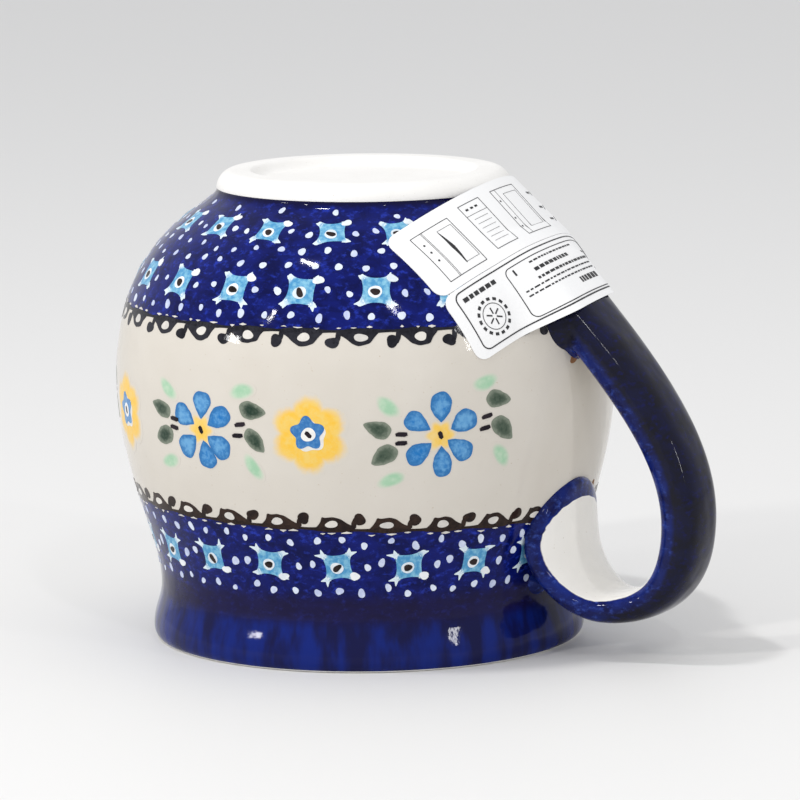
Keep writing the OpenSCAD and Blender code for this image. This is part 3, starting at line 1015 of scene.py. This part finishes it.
class Belt:
    """The colours of the flower belt, from the undermost to the uppermost."""

    def __init__(self):
        self.hearts = Paint("yellow_hearts", soft_colour(
            "heart_yellow", (0.86, 0.55, 0.10), (0.82, 0.60, 0.22), full=0.4), 1)
        self.gold = Paint("yellow_petals", soft_colour(
            "gold_petal", (0.86, 0.52, 0.065), (0.82, 0.57, 0.15), full=0.30), 1)
        self.washes = Paint("pale_leaves", soft_colour(
            "wash_green", (0.34, 0.56, 0.38), (0.46, 0.62, 0.46)), 1)
        self.halos = Paint("star_halos", brush_colour(
            "halo_white", (0.68, 0.66, 0.62), (0.78, 0.77, 0.74)), 1.6)
        self.petals = Paint("blue_petals", brush_colour(
            "petal_blue", (0.014, 0.165, 0.470), (0.140, 0.360, 0.620), 0.9,
            rim=(0.030, 0.160, 0.400)), 2)
        self.leaves = Paint("dark_leaves", brush_colour(
            "leaf_green", (0.012, 0.034, 0.022), (0.075, 0.105, 0.075), 0.8,
            rim=(0.20, 0.23, 0.18)), 2)
        self.stars = Paint("small_blue_stars", brush_colour(
            "small_star_blue", (0.035, 0.160, 0.420), (0.140, 0.340, 0.600), 0.8), 2.5)
        self.eyes = Paint("flower_eyes", brush_colour(
            "flower_white", (0.74, 0.74, 0.72), (0.84, 0.83, 0.80)), 3.2)
        self.ink = Paint("ink_dashes", brush_colour(
            "dash_black", (0.006, 0.004, 0.008), (0.02, 0.014, 0.020)), 4)

    def dash(self, place, tilt, long):
        """A short black brush mark."""
        half = long / 2
        path = np.array([(-half, 0), (-half * 0.5, 0.08), (half * 0.5, -0.05), (half, 0)])
        self.ink.stroke(place, spun(path, tilt), [0.55, 0.85, 0.9, 0.6])

    def blue_flower(self, turn, lean, spread):
        """Six petals round a yellow heart, with leaves and dashes on both sides."""
        def beside(right, up):
            return glaze_spot(turn, FLOWER_Z, lean, (right * spread, up))

        self.hearts.blob(glaze_spot(turn, FLOWER_Z), lobes(3.1, 0.15, 6, 60), rings=7)
        for degrees in (88, 29, -32, -82, -138, 152):
            degrees += hand.uniform(-4, 4)
            spot = glaze_spot(turn, FLOWER_Z, degrees, (hand.uniform(4.8, 5.4), 0))
            self.petals.blob(spot, petal(hand.uniform(5.4, 6.3), hand.uniform(3.9, 4.8)), rings=5)
        self.dash(glaze_spot(turn, FLOWER_Z), hand.uniform(100, 130), 1.5)
        for right, up, tilt in ((8.8, 1.3, 9), (8.1, -0.9, 9), (-6.6, 1.8, -3), (-6.9, 0.1, -3)):
            self.dash(beside(right, up), tilt + hand.uniform(-5, 5), 2.3)
        for right, up, tilt in ((11.5, 4.0, -12), (11.6, -2.0, -52),
                                (-10.4, 3.7, 155), (-10.2, -1.7, 200)):
            blade = leaf(hand.uniform(5.4, 6.2), hand.uniform(3.3, 3.9))
            self.leaves.blob(beside(right, up), spun(blade, tilt + hand.uniform(-6, 6)), rings=5)
        for right, up, tilt in ((9.6, 7.8, 8), (10.6, -7.2, -60), (-8.0, 7.6, -45),
                                (-9.6, -6.8, 16)):
            smudge = spun(oval(3.3, 1.8, 0.06, sides=22), tilt + hand.uniform(-12, 12))
            self.washes.blob(beside(right, up), smudge, rings=6)

    def yellow_flower(self, turn):
        """A soft yellow flower round a small blue star."""
        z = FLOWER_Z + 0.5
        self.gold.blob(glaze_spot(turn, z), lobes(7.7, 0.11, 6, 90, bulge=0.8, sides=90), rings=12)
        self.halos.blob(glaze_spot(turn + 0.5, z - 0.3), lobes(3.0, 0.10, 5, 96), rings=3)
        tilt = hand.uniform(-8, 8)
        self.stars.blob(glaze_spot(turn - 0.3, z + 0.2, tilt), lobes(3.0, 0.17, 5, 98), rings=4)
        self.eyes.blob(glaze_spot(turn, z), oval(1.45, 1.35, 0.06, sides=20))
        self.dash(glaze_spot(turn, z), hand.uniform(110, 145), 1.5)

    def finish(self):
        for paint in (self.hearts, self.gold, self.washes, self.halos, self.petals,
                      self.leaves, self.stars, self.eyes, self.ink):
            paint.finish()


def paint_flowers():
    """Blue and yellow flowers by turns round the cream belt."""
    belt = Belt()
    for k, turn in enumerate(FLOWER_TURNS):
        if k % 2 == 0:
            belt.blue_flower(turn, FLOWER_LEANS[k // 2], FLOWER_SPREADS[k // 2])
        else:
            belt.yellow_flower(turn)
    belt.finish()


def make_bare_spot():
    """Rust-brown bare clay beside both joints of the strap."""
    paint = Paint("bare_clay_spot", iron_slip(), 2, "bare_stoneware")
    paint.blob(glaze_spot(11.8, 30.6, 74), oval(2.2, 1.0, 0.15, sides=18))
    paint.blob(glaze_spot(-5.0, 59.4, 10), oval(1.7, 0.8, 0.15, sides=18))
    paint.finish()


# ---- labels ----

LABEL_LENGTH = 54.0
CARE_WIDTH = 16.5
GRADE_WIDTH = 14.5
LABEL_TILT = math.radians(30.5)
LABEL_START_TURN = -41.7
LABEL_START_Z = 73.0
SHOULDER_TAPER = 0.62
PAPER = 0.22
CORNER = 2.5
CONE_START = radius_at(LABEL_START_Z) / SHOULDER_TAPER
# The paper keeps its full stand-off this far to the side of the strap, and lies on the
# glaze from the second distance on.
DRAPE_FLAT = 6
DRAPE_REACH = 19
OVER_STRAP = 0.12
# Length of the strap that can lie under the labels.
STRAP_ROOT = 45


def bridged(line):
    """The outside with the hollow under the foot spanned straight, as stiff paper spans it."""
    reach = line.sum(axis=1)
    shoulder = line[:, 1] < GLAZE_LINE_Z
    start = int(np.argmax(np.where(shoulder, reach, 0)))
    end = int(np.argmax(np.where(shoulder, 0, reach)))
    share = ((WRAP_AT[start:end] - WRAP_AT[start]) / (WRAP_AT[end] - WRAP_AT[start]))[:, None]
    spanned = line.copy()
    spanned[start:end] = (1 - share) * line[start] + share * line[end]
    return spanned


UNDER_PAPER = bridged(WRAP)
UNDER_PAPER_OUT = -left_normals(UNDER_PAPER)


def strap_stand_off():
    """Distances along the outside, and how far off it the strap's outer face stands there."""
    face = STRAP_FACE[:int(STRAP_ROOT / STRAP_STEP)][::-1]
    gaps = face[:, None, :] - UNDER_PAPER[None, :, :]
    near = np.argmin((gaps ** 2).sum(-1), axis=1)
    gap = gaps[np.arange(len(near)), near]
    out = UNDER_PAPER_OUT[near]
    along = WRAP_AT[near] + gap[:, 1] * out[:, 0] - gap[:, 0] * out[:, 1]
    off = (gap * out).sum(-1)
    off = np.where(off > 0, off + OVER_STRAP, 0)
    along = np.maximum.accumulate(along)
    return np.append(along, along[-1] + 3), np.append(off, 0)


PROUD_AT, PROUD = strap_stand_off()


def on_label(u, v, lift):
    """Points on the paper: u along the seam, v across it towards the foot."""
    round_way = u * math.cos(LABEL_TILT) - v * math.sin(LABEL_TILT)
    foot_way = u * math.sin(LABEL_TILT) + v * math.cos(LABEL_TILT)
    drop = CONE_START - foot_way
    turn = np.degrees(np.arctan2(round_way, drop)) / SHOULDER_TAPER + LABEL_START_TURN
    along = along_at(LABEL_START_Z) + CONE_START - np.hypot(round_way, drop)
    side = np.interp(along, WRAP_AT, UNDER_PAPER[:, 0]) * np.sin(np.radians(turn))
    drape = smooth((DRAPE_REACH - np.abs(side)) / (DRAPE_REACH - DRAPE_FLAT))
    lift = lift + np.interp(along, PROUD_AT, PROUD) * drape
    return off_line(UNDER_PAPER, UNDER_PAPER_OUT, turn, along, lift)


def label_spot(u, v):
    """Wraps flat offsets round a place on a label."""
    def place(flat, lift):
        over = PAPER + 0.02 + lift if lift > 0 else PAPER - 0.05
        return on_label(u + flat[:, 0], v + flat[:, 1], over)
    return place


def make_label(name, low, high, node_name, material):
    """A sheet of paper with rounded corners, closed all round."""
    width = high - low
    edge = np.array([0, 0.15, 0.4, 0.8, 1.3, 1.9, 2.5])
    across = np.concatenate([edge, np.linspace(3, width - 3, 20), width - edge[::-1]])
    into_corner = np.maximum(0, CORNER - np.minimum(across, width - across))
    inset = CORNER - np.sqrt(np.maximum(0, CORNER ** 2 - into_corner ** 2))
    rows, columns = len(across), 130
    u = np.linspace(inset, LABEL_LENGTH - inset, columns, axis=1)
    v = np.broadcast_to((low + across)[:, None], u.shape)
    sides = [on_label(u, v, lift).reshape(-1, 3) for lift in (PAPER, 0.04)]
    n = rows * columns
    sheet = grid(rows, columns)
    order = np.arange(n).reshape(rows, columns).tolist()
    rim = (order[0] + [row[-1] for row in order[1:]] + order[-1][-2::-1]
           + [row[0] for row in order[-2:0:-1]])
    faces = turned_over(sheet) + shifted(sheet, n)
    faces += [(b, a, n + a, n + b) for a, b in zip(rim, rim[1:] + rim[:1])]
    belongs(add_mesh(name, np.vstack(sides), faces, material), "label_paper", node_name)


class Print(Paint):
    """Black ink on the paper. Places are along the labels' seam and across it."""

    def __init__(self, name, material):
        super().__init__(name, material, 1, "label_paper")

    def path(self, points, width):
        self.stroke(label_spot(0, 0), points, np.broadcast_to(width, len(points)))

    def line(self, start, end, width=0.16):
        """A straight line, with its points close enough to follow the curve."""
        self.path(straight(start, end), width)

    def frame(self, low, high, width):
        """A rectangle of four lines."""
        (u0, v0), (u1, v1) = low, high
        corners = [(u0, v0), (u1, v0), (u1, v1), (u0, v1), (u0, v0)]
        for start, end in zip(corners, corners[1:]):
            self.line(start, end, width)

    def round_frame(self, low, high, radius, width):
        """A closed rectangle with rounded corners."""
        (u0, v0), (u1, v1) = low, high
        path = []
        for u, v, start in ((u1 - radius, v1 - radius, 0), (u0 + radius, v1 - radius, 90),
                            (u0 + radius, v0 + radius, 180), (u1 - radius, v0 + radius, 270)):
            path += arc((u, v), radius, np.radians(start + 15 * np.arange(7))).tolist()
        path.append(path[0])
        dense = [straight(a, b)[:-1] for a, b in zip(path, path[1:])]
        self.path(np.vstack([*dense, path[-1:]]), width)

    def dot(self, u, v):
        self.blob(label_spot(u, v), oval(0.24, 0.24, 0.03, sides=10), rings=1)


def straight(start, end):
    """Points from start to end, close enough together to follow the curve."""
    start, end = np.array(start, float), np.array(end, float)
    count = max(2, int(np.linalg.norm(end - start) / 1.2) + 1)
    return start + np.linspace(0, 1, count)[:, None] * (end - start)


def arc(centre, radius, angles):
    """Points round a centre."""
    return np.array(centre) + radius * flat_points(np.cos(angles), np.sin(angles))


def print_care_label(ink):
    """Plain line pictures of kitchen machines, with no lettering."""
    ink.frame((4.3, 1.8), (14.5, 13.5), 0.14)
    for u in (6.9, 7.2):
        ink.line((u, 1.8), (u, 13.5), 0.08)
    for v in (6.6, 8.8, 10.8):
        ink.dot(5.6, v)
    ink.frame((10.2, 3.5), (14.0, 12.0), 0.07)
    door = [(10.3, 3.3), (10.45, 5.5), (10.5, 7.6), (10.4, 9.6), (10.2, 11.7)]
    ink.path(door, [0.15, 0.5, 0.85, 0.5, 0.15])
    ink.frame((18.6, 2.5), (25.3, 14.3), 0.14)
    ink.line((18.6, 11.5), (25.3, 11.5), 0.08)
    for u in (20.1, 21.6, 23.0):
        ink.line((u - 0.4, 12.9), (u + 0.4, 12.9), 0.45)
    for step in range(6):
        v = 10.3 - 1.2 * step
        ink.line((19.8, v), (24.2, v), 0.06)
    ink.frame((29.8, 2.5), (40.9, 14.3), 0.14)
    ink.line((31.6, 2.5), (31.6, 14.3), 0.08)
    for v in (4.7, 6.9, 11.5):
        ink.dot(30.6, v)
    ink.frame((33.6, 4.0), (39.8, 12.8), 0.07)
    for v in (4.4, 7.7, 11.7):
        ink.line((46.0, v), (49.0, v), 0.5)
        ink.line((50.0, v - 0.6), (52.0, v + 0.6), 0.3)


def print_bars(ink, start, end, v, tall):
    """A row of short plain bars that stands for a line of small print."""
    u = start
    while u < end - 0.5:
        long = min(hand.uniform(0.5, 1.5), end - u)
        ink.line((u, v), (u + long, v), tall)
        u += long + 0.35


def print_grade_label(ink):
    """Bordered field with a plain round seal and bars in place of lettering."""
    ink.round_frame((2.5, -13.2), (51.5, -0.9), 1.6, 0.26)
    ink.round_frame((15.5, -12.7), (50.8, -2.0), 1.4, 0.18)
    seal = (8.0, -8.3)
    for k in range(15):
        ink.path(arc(seal, 3.5, (np.linspace(0, 0.55, 4) + k) * 2 * math.pi / 15), 0.6)
    ink.path(arc(seal, 2.6, np.linspace(0, 2 * math.pi, 49)), 0.14)
    for k in range(6):
        spoke = np.radians([60 * k + 30])
        ink.line(arc(seal, 0.5, spoke)[0], arc(seal, 1.8, spoke)[0], 0.3)
    print_bars(ink, 3.9, 13.0, -2.7, 0.9)
    ink.line((17.5, -4.0), (17.5, -2.7), 0.4)
    for start, end, v, tall in ((21.8, 39.5, -3.0, 0.35), (21.6, 34.6, -4.7, 0.7),
                                (21.0, 40.9, -6.4, 0.5), (17.0, 40.0, -7.6, 0.3),
                                (17.0, 40.0, -8.6, 0.3), (30.7, 38.0, -10.2, 1.1),
                                (41.5, 49.0, -5.0, 0.4), (41.5, 49.0, -9.0, 0.4)):
        print_bars(ink, start, end, v, tall)


def make_labels():
    """Both stickers and their printing."""
    paper, ink = sticker_paper(), label_ink()
    make_label("care_label_paper", 0.05, CARE_WIDTH, "care_label", paper)
    make_label("grade_label_paper", -GRADE_WIDTH, -0.05, "grade_label", paper)
    for name, fill in (("care_label_print", print_care_label),
                       ("grade_label_print", print_grade_label)):
        printing = Print(name, ink)
        fill(printing)
        printing.finish()


# ---- floor, light and camera ----


def make_floor():
    """A plain pale table top."""
    side = 4.0
    mesh = bpy.data.meshes.new("floor")
    mesh.from_pydata([(-side, -side, 0), (side, -side, 0), (side, side, 0), (-side, side, 0)],
                     [], [(0, 1, 2, 3)])
    mesh.materials.append(Finish("floor_pale").matt((0.80, 0.795, 0.785), 0.6))
    floor = bpy.data.objects.new("floor", mesh)
    bpy.context.collection.objects.link(floor)


def add_light(name, turn, rise, size, power, colour=(1, 1, 1)):
    """A small rectangular light 1.2 m from the mug, at a turn and a rise in degrees."""
    light = bpy.data.lights.new(name, "AREA")
    light.shape = "RECTANGLE"
    light.size, light.size_y = size
    light.energy = power
    light.color = colour
    turn, rise = math.radians(turn), math.radians(rise)
    way = Vector((math.cos(turn) * math.cos(rise), math.sin(turn) * math.cos(rise),
                  math.sin(rise)))
    lamp = bpy.data.objects.new(name, light)
    lamp.location = Vector((0, 0, 0.05)) + way * 1.2
    lamp.rotation_euler = (-way).to_track_quat("-Z", "Y").to_euler()
    bpy.context.collection.objects.link(lamp)


def make_light():
    """A wide pale surround, with small lights that sparkle on the glaze."""
    world = bpy.data.worlds.new("soft_studio")
    world.use_nodes = True
    surround = world.node_tree.nodes["Background"].inputs
    surround["Color"].default_value = (0.80, 0.805, 0.82, 1)
    surround["Strength"].default_value = 0.95
    bpy.context.scene.world = world
    bpy.context.scene.view_settings.view_transform = "Standard"
    add_light("overhead", -121, 69, (0.15, 0.045), 3.6)
    add_light("front_left", -110, 32, (0.045, 0.15), 2.6, (1.0, 0.98, 0.95))
    add_light("right", -12, 19, (0.03, 0.24), 1.2)
    add_light("low_left", -125, 17, (0.12, 0.05), 1.4)
    add_light("over_handle", -44, 42, (0.025, 0.16), 1.0)


# Where the mug is seen from: in millimetres from its axis and above its rim, and degrees.
CAMERA_TURN = 30.0
CAMERA_DISTANCE = 983.2
CAMERA_HEIGHT = 203.6
CAMERA_DOWN = 9.055
CAMERA_RIGHT = 0.392
CAMERA_ROLL = -0.639
LENS = 222.5
SENSOR = 36


def make_camera():
    """The camera at the photograph's viewing angle."""
    turn = math.radians(CAMERA_TURN)
    down, roll = math.radians(CAMERA_DOWN), math.radians(CAMERA_ROLL)
    heading = turn - math.radians(CAMERA_RIGHT)
    level = Vector((-math.sin(heading), math.cos(heading), 0))
    right = Vector((math.cos(heading), math.sin(heading), 0))
    forward = level * math.cos(down) - Vector((0, 0, 1)) * math.sin(down)
    up = right.cross(forward)
    rolled_right = right * math.cos(roll) + up * math.sin(roll)
    rolled_up = up * math.cos(roll) - right * math.sin(roll)
    place = Matrix((rolled_right, rolled_up, -forward)).transposed().to_4x4()
    place.translation = Vector((
        CAMERA_DISTANCE * math.sin(turn), -CAMERA_DISTANCE * math.cos(turn), CAMERA_HEIGHT
    )) * MM
    data = bpy.data.cameras.new("camera")
    data.lens = LENS
    data.sensor_width = SENSOR
    data.clip_start = 0.05
    camera = bpy.data.objects.new("camera", data)
    camera.matrix_world = place
    bpy.context.collection.objects.link(camera)
    bpy.context.scene.camera = camera


make_camera()
make_light()
make_floor()
make_body()
make_coats()
make_handle()
paint_stars()
paint_dots()
paint_borders()
paint_flowers()
make_bare_spot()
make_labels()
